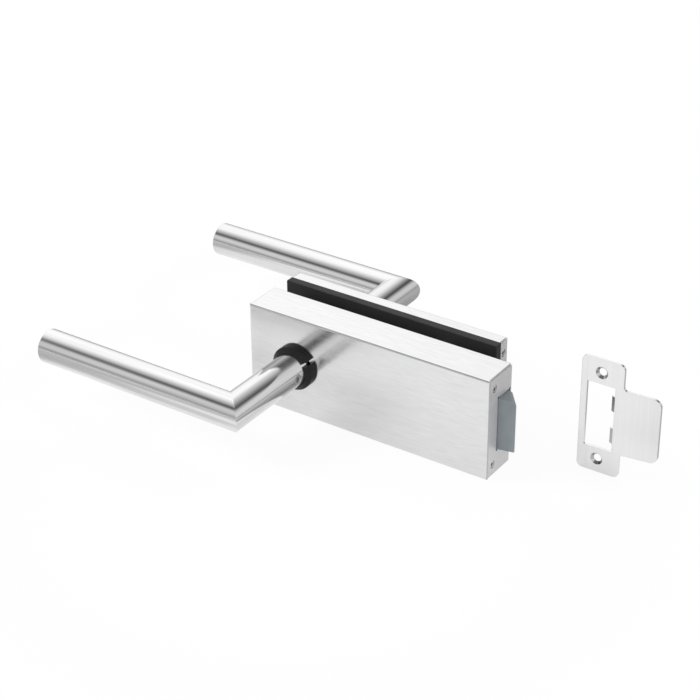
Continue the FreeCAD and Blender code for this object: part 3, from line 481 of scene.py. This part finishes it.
def plated_metal(name, colour, gloss, finish):
    """Turned or stamped steel with bright plating, clouded by handling."""
    paint = Paint(name, {"Metallic": 1.0})
    tree = paint.tree
    edges = paint.use(rounded_edges_painted_light, {"Vector": paint.place, "Radius": finish.edge_radius})
    haze = paint.use(handled_haze, {"Vector": paint.place, "Scale": 160.0})["Haze"]
    skin = paint.use(grained_skin, {"Vector": paint.place, "Scale": 2600.0})
    base = tint(tree, haze, lighter(colour, -0.10), lighter(colour, 0.06))
    # Painted highlight along the edges
    paint.feed("Base Color", tint(tree, maths(tree, "MULTIPLY", edges["Edge"], 0.7), base,
                                  lighter(colour, 0.4)))
    paint.feed("Roughness", spread(tree, haze, 0.0, 1.0, gloss - 0.05, gloss + 0.09))
    paint.bump(skin["Height"], 0.000004, edges["Normal"], 0.5)
    return paint.material


def dress(material, *names):
    """Gives CAD nodes this material in place of the plain one."""
    for name in names:
        NODES[name].material_slots[0].material = material


# Springs
def wound_wire(name, start, end, part, coil_radius, turns, closed, wire):
    """A part, given as shares of the turns, of a round wire wound about a line along X.

    The middle line is x(t) along the axis with coil_radius about it, t counting turns. x
    rises evenly, apart from the closed turns at both ends, where it rises by one wire each
    turn. The skin is the middle line plus wire times the circle in the plane square to it.
    """
    per_turn, sides = 36, 14
    first, last = part
    count = int((last - first) * turns * per_turn) + 1
    t = np.linspace(first * turns, last * turns, count)
    flat = 2 * wire * 1.02
    free = end.x - start.x - 2 * wire - 2 * closed * flat
    rise = np.interp(t, [0.0, closed, turns - closed, turns],
                     [0.0, closed * flat, closed * flat + free, 2 * closed * flat + free])
    a = 2 * np.pi * t
    centre = np.stack([start.x + wire + rise, start.y + coil_radius * np.cos(a),
                       start.z + coil_radius * np.sin(a)], axis=1)
    out = np.stack([np.zeros(count), np.cos(a), np.sin(a)], axis=1)
    along = np.gradient(centre, axis=0)
    along /= np.linalg.norm(along, axis=1, keepdims=True)
    side = np.cross(along, out)
    b = np.linspace(0.0, 2 * np.pi, sides, endpoint=False)
    ring = (np.cos(b)[None, :, None] * out[:, None, :]
            + np.sin(b)[None, :, None] * side[:, None, :])
    points = (centre[:, None, :] + wire * ring).reshape(-1, 3)
    i, k = np.meshgrid(np.arange(count - 1), np.arange(sides), indexing="ij")
    nxt = (k + 1) % sides
    quads = np.stack([i * sides + k, (i + 1) * sides + k, (i + 1) * sides + nxt,
                      i * sides + nxt], axis=-1).reshape(-1, 4)
    faces = quads.tolist()
    faces.append(list(range(sides)))
    faces.append(list(range((count - 1) * sides, count * sides))[::-1])
    return skin_object(name, points, faces)


def squeezed_spring(name, node, turns, part, body, springs, wire):
    """A part of the spring that stands for node; it rides on body."""
    low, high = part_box(node)
    middle = (low + high) / 2
    start = Vector((low.x, middle.y, middle.z))
    end = Vector((high.x, middle.y, middle.z))
    coil_radius = (high.z - low.z) / 2 - springs.wire_radius
    coil = wound_wire(name, start, end, part, coil_radius, turns, springs.end_turns,
                      springs.wire_radius)
    coil.data.materials.append(wire)
    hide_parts(node)
    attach(coil, body)
    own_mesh(coil)


def skin_object(name, points, faces, sharp=35.0):
    """A smooth mesh object at the origin from points in metres."""
    mesh = bpy.data.meshes.new(name)
    mesh.from_pydata(points.tolist(), [], faces)
    mesh.validate()
    mesh.polygons.foreach_set("use_smooth", np.ones(len(mesh.polygons), bool))
    mesh.set_sharp_from_angle(angle=np.radians(sharp))
    made = bpy.data.objects.new(name, mesh)
    bpy.context.scene.collection.objects.link(made)
    return made


# Studio
# Place from straight down, 0, to straight up, 1, and level of the room there
WALLS = ((0.0, 0.62), (0.465, 0.50), (0.50, 0.42), (0.53, 0.44), (0.57, 0.64), (0.62, 0.74),
         (0.70, 0.78), (0.745, 0.60), (0.78, 0.26), (0.82, 0.06), (0.86, 0.24), (1.0, 0.42))
ROOM_UP = (0.0436, 0.0755, 0.9962)
# Elevation and azimuth in degrees, cosine at the rim and at the core, share of the level
LAMPS = ((42.3, 142.5, 0.48, 0.958, 1.0), (42.0, -8.0, 0.65, 0.955, 0.9),
         (13.0, -49.0, 0.74, 0.96, 0.86))
LAMP_FALL = 2.1     # power of the fall from core to rim
# Painted pools of light on the floor: centre, radius of the even part, radius where the edge
# colour is reached
POOLS = ((0.060, -0.095, 0.09, 0.22), (-0.10, -0.055, 0.03, 0.09), (-0.10, 0.065, 0.03, 0.09),
         (0.168, 0.0, 0.02, 0.07))
# Strip of painted shade on the floor before the grip: its middle along Y, outer and inner half
# width, share of the pool's light that it takes, and along X where it begins and where it is
# full
STRIP_MIDDLE = -0.122
STRIP_WIDTH = 0.022, 0.009
STRIP_SHARE = 0.66
STRIP_END = 0.02, -0.03
# Painted shade on the floor where it is mirrored for the second time: centre, outer and inner
# radius, share, and the ray's depth that parts the first time, 1, from the second, 2
AGAIN_PLACE = 0.072, -0.070
AGAIN_WIDTH = 0.085, 0.055
AGAIN_SHARE = 0.85
AGAIN_DEPTH = 1.5
# Place and side of the square panels; they aim at a point inside the case
LEFT_PANEL = (-1.15, -0.75, 0.95), 0.7
FRONT_PANEL = (0.9, -1.3, 0.8), 0.9
PANEL_AIM = (0.03, 0.0, 0.0)


def heading(elevation, azimuth):
    """The unit vector with this elevation and turn from +X, in degrees."""
    e, a = np.radians(elevation), np.radians(azimuth)
    return Vector((np.cos(e) * np.cos(a), np.cos(e) * np.sin(a), np.sin(e)))


def studio_world(studio):
    """Walls and ceiling as levels by height, with two large soft lamps in them."""
    world = bpy.data.worlds.new("studio_room")
    world.use_nodes = True
    tree = world.node_tree
    tree.nodes.clear()
    way = tree.nodes.new("ShaderNodeTexCoord").outputs["Generated"]
    up = put(tree, "ShaderNodeVectorMath", {0: way, 1: ROOM_UP},
             operation="DOT_PRODUCT").outputs["Value"]
    ramp = put(tree, "ShaderNodeValToRGB", {0: spread(tree, up, -1.0, 1.0, 0.0, 1.0)})
    stops = ramp.color_ramp.elements
    while len(stops) < len(WALLS):
        stops.new(0.5)
    for stop, (where, value) in zip(stops, WALLS):
        stop.position = where
        stop.color = (value, value, value, 1.0)
    room = ramp.outputs["Color"]
    for elevation, azimuth, rim, core, share in LAMPS:
        facing = put(tree, "ShaderNodeVectorMath", {0: way, 1: heading(elevation, azimuth)},
                     operation="DOT_PRODUCT").outputs["Value"]
        glow = maths(tree, "POWER", spread(tree, facing, rim, core, 0.0, 1.0), LAMP_FALL)
        room = tint(tree, glow, room, (studio.window * share,) * 3)
    seen = put(tree, "ShaderNodeLightPath").outputs["Is Camera Ray"]
    room = tint(tree, seen, room, (1.0, 1.0, 1.0))
    sky = put(tree, "ShaderNodeBackground", {"Color": room, "Strength": 1.0})
    output = tree.nodes.new("ShaderNodeOutputWorld")
    tree.links.new(sky.outputs[0], output.inputs["Surface"])
    bpy.context.scene.world = world


def away_from(tree, place, x, y):
    """A point's distance from this place on the floor."""
    return put(tree, "ShaderNodeVectorMath", {0: place, 1: (x, y, CAD_BOX[0].z)},
               operation="DISTANCE").outputs["Value"]


def painted_pools_of_light(tree, path):
    """How far each place on the floor is in a painted pool of light, from 0 to 1.

    The largest of the pools counts. The painted shade of the strip before the grip takes a share
    of it, and so does painted shade on the floor by the case for a ray that has been mirrored
    twice, which darkens reflections of reflections there.
    """
    place = tree.nodes.new("ShaderNodeTexCoord").outputs["Object"]
    pool = 0.0
    for x, y, inner, outer in POOLS:
        pool = maths(tree, "MAXIMUM", pool, spread(tree, away_from(tree, place, x, y), outer,
                                                   inner, 0.0, 1.0, "SMOOTHSTEP"))
    sides = put(tree, "ShaderNodeSeparateXYZ", {0: place}).outputs
    off = maths(tree, "ABSOLUTE", maths(tree, "SUBTRACT", sides["Y"], STRIP_MIDDLE))
    strip = maths(tree, "MULTIPLY",
                  spread(tree, off, *STRIP_WIDTH, 0.0, STRIP_SHARE, "SMOOTHSTEP"),
                  spread(tree, sides["X"], *STRIP_END, 0.0, 1.0, "SMOOTHSTEP"))
    deep = maths(tree, "MULTIPLY", path["Is Glossy Ray"],
                 maths(tree, "GREATER_THAN", path["Ray Depth"], AGAIN_DEPTH))
    again = maths(tree, "MULTIPLY", deep,
                  spread(tree, away_from(tree, place, *AGAIN_PLACE), *AGAIN_WIDTH, 0.0,
                         AGAIN_SHARE, "SMOOTHSTEP"))
    for shade in (strip, again):
        pool = maths(tree, "MULTIPLY", pool, maths(tree, "SUBTRACT", 1.0, shade))
    return pool


def floor_material(studio):
    """Pale floor with painted pools of light and shade; camera, mirror and glass rays see part
    of it as white.
    """
    material = bpy.data.materials.new("studio_floor")
    material.use_nodes = True
    tree = material.node_tree
    tree.nodes.clear()
    path = put(tree, "ShaderNodeLightPath").outputs
    pool = painted_pools_of_light(tree, path)
    # Painted pools of light in the floor's colour
    colour = tint(tree, pool, tuple(studio.floor_edge), tuple(studio.floor_colour))
    plain = put(tree, "ShaderNodeBsdfPrincipled", {"Base Color": colour, "Roughness": 0.9,
                                                   "Specular IOR Level": 0.1})
    white = put(tree, "ShaderNodeEmission", {"Strength": 1.0})
    seen = maths(tree, "MULTIPLY", path["Is Camera Ray"],
                 spread(tree, pool, 0.0, 1.0, 1.0, studio.floor_white))
    mirrored = maths(tree, "MAXIMUM", path["Is Glossy Ray"], path["Is Transmission Ray"])
    mirrored = maths(tree, "MULTIPLY", mirrored,
                     maths(tree, "MULTIPLY", pool, studio.mirror_white))
    mixed = put(tree, "ShaderNodeMixShader", {0: maths(tree, "MAXIMUM", seen, mirrored)})
    tree.links.new(plain.outputs[0], mixed.inputs[1])
    tree.links.new(white.outputs[0], mixed.inputs[2])
    output = tree.nodes.new("ShaderNodeOutputMaterial")
    tree.links.new(mixed.outputs[0], output.inputs["Surface"])
    return material


def soft_panel(name, panel, power):
    """A square lamp that lights surfaces and isn't mirrored in them."""
    place, side = panel
    lamp = bpy.data.lights.new(name, "AREA")
    lamp.shape, lamp.size, lamp.energy = "SQUARE", side, power
    made = bpy.data.objects.new(name, lamp)
    made.location = place
    made.rotation_mode = "QUATERNION"
    made.rotation_quaternion = (Vector(PANEL_AIM) - Vector(place)).to_track_quat("-Z", "Y")
    made.visible_camera = made.visible_glossy = False
    bpy.context.scene.collection.objects.link(made)


def studio_camera(studio):
    """A camera that looks at the lock from the given angles."""
    a, e, r = np.radians([studio.azimuth, studio.elevation, studio.roll])
    back = Vector((np.sin(a) * np.cos(e), -np.cos(a) * np.cos(e), np.sin(e)))
    level_right = Vector((np.cos(a), np.sin(a), 0.0))
    level_up = back.cross(level_right)
    right = level_right * np.cos(r) + level_up * np.sin(r)
    up = level_up * np.cos(r) - level_right * np.sin(r)
    eye = back * studio.distance - right * studio.across + up * studio.along
    data = bpy.data.cameras.new("studio_camera")
    data.sensor_width, data.lens = 36.0, studio.lens
    data.clip_start, data.clip_end = 0.05, 20.0
    made = bpy.data.objects.new("studio_camera", data)
    turn = Matrix((right, up, back)).transposed().to_4x4()
    made.matrix_world = Matrix.Translation(eye) @ turn
    bpy.context.scene.collection.objects.link(made)
    bpy.context.scene.camera = made


# Operators
class LOCK_OT_covers(bpy.types.Operator):
    """Brushed sheet on the front and rear covers"""
    bl_idname = "lock.covers"
    bl_label = "Covers"
    bl_options = {"REGISTER", "UNDO"}

    def execute(self, context):
        finish = context.scene.lock_finish
        # The end flanges get painted shade, and edge below 0 paints shade along the bends
        sheet = brushed_metal("brushed_cover_steel", finish.cover_steel, finish.cover_gloss,
                              finish, sheet_grain, across=1100.0, along=110.0, streak=0.11,
                              edge=-0.5, turned_gloss=finish.end_gloss,
                              turned_metal=finish.end_metal, radius=2.2)
        dress(sheet, "front_cover", "rear_cover")
        return {"FINISHED"}


class LOCK_OT_levers(bpy.types.Operator):
    """Satin steel on both levers, its lines following the neck and the grip"""
    bl_idname = "lock.levers"
    bl_label = "Levers"
    bl_options = {"REGISTER", "UNDO"}

    def execute(self, context):
        finish = context.scene.lock_finish
        for name, grip_y, out in (("front_lever", FRONT_GRIP_Y, -1.0),
                                  ("rear_lever", REAR_GRIP_Y, 1.0)):
            tube = brushed_metal(name + "_satin_steel", finish.tube_steel, finish.tube_gloss,
                                 finish, tube_grain(grip_y, out), across=1000.0, along=12.0,
                                 streak=0.20)
            dress(tube, name)
        return {"FINISHED"}


class LOCK_OT_bushes(bpy.types.Operator):
    """Black moulded plastic on the neck bushes"""
    bl_idname = "lock.bushes"
    bl_label = "Neck bushes"
    bl_options = {"REGISTER", "UNDO"}

    def execute(self, context):
        finish = context.scene.lock_finish
        # rim: painted highlight along the bushes' rims
        plastic = moulded("bush_plastic", finish.bush_black, 0.32, finish, specular=0.13,
                          rim=0.22)
        dress(plastic, "front_neck_bush", "rear_neck_bush")
        return {"FINISHED"}


class LOCK_OT_clamp(bpy.types.Operator):
    """Clamp plate, gaskets, sleeves and clamp screws"""
    bl_idname = "lock.clamp"
    bl_label = "Glass clamp"
    bl_options = {"REGISTER", "UNDO"}

    def execute(self, context):
        finish = context.scene.lock_finish
        dress(moulded("clamp_plate_black", finish.plate_black, 0.55, finish, scale=1100.0,
                      height=0.00002, specular=0.25), "rear_clamp_plate")
        dress(moulded("gasket_rubber", finish.rubber_black, 0.7, finish, scale=2000.0,
                      height=0.00002, specular=0.2), "front_gasket", "rear_gasket")
        dress(moulded("sleeve_nylon", finish.nylon, 0.42, finish, scale=900.0),
              "glass_sleeves")
        dress(plated_metal("clamp_screw_plating", finish.plating, 0.28, finish),
              "clamp_screws")
        return {"FINISHED"}


class LOCK_OT_latch(bpy.types.Operator):
    """Coat on the latch bolt, plating on its nut"""
    bl_idname = "lock.latch"
    bl_label = "Latch"
    bl_options = {"REGISTER", "UNDO"}

    def execute(self, context):
        finish = context.scene.lock_finish
        dress(coated_latch("latch_coat", finish.latch_coat, 0.42, finish), "latch_bolt")
        dress(plated_metal("nut_plating", finish.plating, 0.3, finish), "latch_tail_nut")
        return {"FINISHED"}


class LOCK_OT_mechanism(bpy.types.Operator):
    """Casting, lid, follower, bar, spindle and sockets inside the lock"""
    bl_idname = "lock.mechanism"
    bl_label = "Mechanism"
    bl_options = {"REGISTER", "UNDO"}

    def execute(self, context):
        finish = context.scene.lock_finish
        dress(cast_metal("body_casting", finish.casting, finish), "lock_body")
        dress(plated_metal("stamped_plating", finish.plating, 0.32, finish),
              "mechanism_plate", "retractor_bar", "mechanism_screws")
        dress(plated_metal("turned_plating", lighter(finish.plating, -0.1), 0.26, finish),
              "follower", "spindle", "front_lever_socket", "rear_lever_socket")
        return {"FINISHED"}


class LOCK_OT_grub_screws(bpy.types.Operator):
    """Plain steel on the headless screws"""
    bl_idname = "lock.grub_screws"
    bl_label = "Grub screws"
    bl_options = {"REGISTER", "UNDO"}

    def execute(self, context):
        finish = context.scene.lock_finish
        dress(plated_metal("grub_screw_steel", finish.screw_steel, 0.34, finish),
              "front_cover_grub_screws", "rear_cover_grub_screws", "lever_grub_screws")
        return {"FINISHED"}


class LOCK_OT_strike(bpy.types.Operator):
    """Sheet steel with upright grain on the strike plate"""
    bl_idname = "lock.strike"
    bl_label = "Strike plate"
    bl_options = {"REGISTER", "UNDO"}

    def execute(self, context):
        finish = context.scene.lock_finish
        sheet = brushed_metal("strike_plate_steel", finish.strike_steel, finish.strike_gloss,
                              finish, upright_grain, across=900.0, along=24.0, streak=0.08)
        dress(sheet, "strike_plate")
        return {"FINISHED"}


class LOCK_OT_springs(bpy.types.Operator):
    """Wound wire springs in place of the plain coils"""
    bl_idname = "lock.springs"
    bl_label = "Springs"
    bl_options = {"REGISTER", "UNDO"}

    def execute(self, context):
        springs = context.scene.lock_springs
        finish = context.scene.lock_finish
        wire = plated_metal("spring_wire", finish.wire, 0.3, finish)
        # The latch spring is wound in two halves: the rear one rides on the lock, the front one
        # on the retractor
        for name, node, turns, part, body, joint in (
                ("latch_spring_rear", "latch_spring", springs.latch_turns, (0.0, 0.5),
                 "lock", "retractor_slide"),
                ("latch_spring_front", "latch_spring", springs.latch_turns, (0.5, 1.0),
                 "retractor", "latch_push"),
                ("return_spring_wire", "return_spring", springs.return_turns, (0.0, 1.0),
                 "lock", "retractor_slide")):
            squeezed_spring(name, node, turns, part, body, springs, wire)
        return {"FINISHED"}


class LOCK_OT_stage(bpy.types.Operator):
    """Floor, soft light and camera"""
    bl_idname = "lock.stage"
    bl_label = "Studio"
    bl_options = {"REGISTER", "UNDO"}

    def execute(self, context):
        studio = context.scene.lock_studio
        context.scene.view_settings.view_transform = "Standard"
        studio_world(studio)
        half, z = studio.floor_side / 2, CAD_BOX[0].z
        corners = np.array([(-half, -half, z), (half, -half, z), (half, half, z),
                            (-half, half, z)])
        floor = skin_object("studio_floor", corners, [(0, 1, 2, 3)])
        floor.data.materials.append(floor_material(studio))
        soft_panel("left_panel", LEFT_PANEL, studio.key_power)
        soft_panel("front_panel", FRONT_PANEL, studio.fill_power)
        studio_camera(studio)
        return {"FINISHED"}


STEPS = (LOCK_OT_stage, LOCK_OT_covers, LOCK_OT_levers, LOCK_OT_bushes, LOCK_OT_clamp,
         LOCK_OT_latch, LOCK_OT_mechanism, LOCK_OT_grub_screws, LOCK_OT_strike,
         LOCK_OT_springs)


class LOCK_PT_panel(bpy.types.Panel):
    """Lists the lock's steps and settings"""
    bl_idname = "LOCK_PT_panel"
    bl_label = "Glass door lock"
    bl_space_type = "VIEW_3D"
    bl_region_type = "UI"
    bl_category = "Lock"

    def draw(self, context):
        for step in STEPS:
            self.layout.operator(step.bl_idname)
        for group_name in SETTINGS:
            settings = getattr(context.scene, group_name)
            box = self.layout.box()
            for name in settings.bl_rna.properties.keys():
                if name not in ("rna_type", "name"):
                    box.prop(settings, name)


SETTINGS = {"lock_finish": LockFinish, "lock_springs": LockSprings, "lock_studio": LockStudio}
CLASSES = (*SETTINGS.values(), *STEPS, LOCK_PT_panel)


def register():
    for made in CLASSES:
        bpy.utils.register_class(made)
    for name, settings in SETTINGS.items():
        setattr(bpy.types.Scene, name, PointerProperty(type=settings))


def unregister():
    for name in SETTINGS:
        delattr(bpy.types.Scene, name)
    for made in reversed(CLASSES):
        bpy.utils.unregister_class(made)


def main():
    """Dresses the lock."""
    register()
    for step in STEPS:
        area, name = step.bl_idname.split(".")
        getattr(getattr(bpy.ops, area), name)()


if __name__ == "__main__":
    main()
